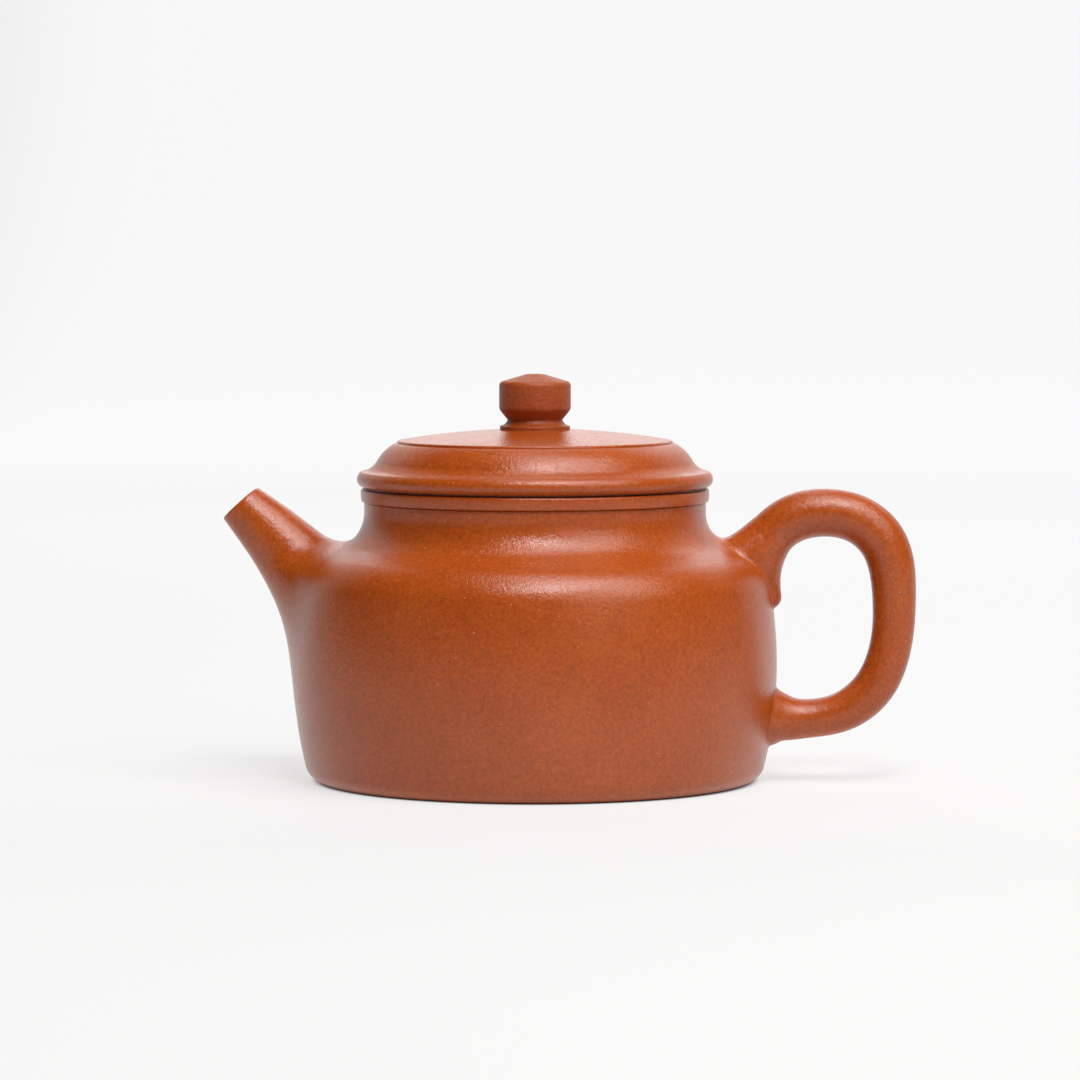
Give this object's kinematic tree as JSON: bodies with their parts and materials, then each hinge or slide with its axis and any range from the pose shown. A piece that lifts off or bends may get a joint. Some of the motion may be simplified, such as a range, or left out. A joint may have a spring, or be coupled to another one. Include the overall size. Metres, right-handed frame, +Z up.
{
  "type": "teapot",
  "caption": "Round unglazed red clay teapot with drum body, concave neck, tapered side spout, ear handle with a small tail, and a lift-off hat-shaped lid with a vented drum knob",
  "frame": {"origin": "on the pot's axis, in the plane of the ring that it stands on", "axes": "+Z up along the pot's axis, the spout points along -X and the handle along +X, so the pot is seen from its side along +Y"},
  "size_m": [0.1291, 0.09, 0.0755],
  "materials": {
    "burnished_clay": "unglazed red stoneware, fine sand grain, burnished to a satin sheen",
    "plain_clay": "the same clay as it leaves the kiln, not burnished, matt"
  },
  "bodies": {
    "pot": {"base_plate": "burnished_clay", "body_wall": "burnished_clay", "shoulder_plate": "burnished_clay", "neck_collar": "burnished_clay", "mouth_ring": "burnished_clay", "spout": "burnished_clay", "spout_strainer": "plain_clay", "handle": "burnished_clay"},
    "lid": {"lid_flange": "plain_clay", "lid_bead": "burnished_clay", "lid_plate": "burnished_clay", "lid_disc": "burnished_clay", "knob_foot": "burnished_clay", "knob": "burnished_clay"}
  },
  "joints": [
    {"name": "lid_lift", "type": "slide", "parent": "pot", "child": "lid", "axis": [0, 0, 1], "range_m": [0, 0.05]}
  ]
}
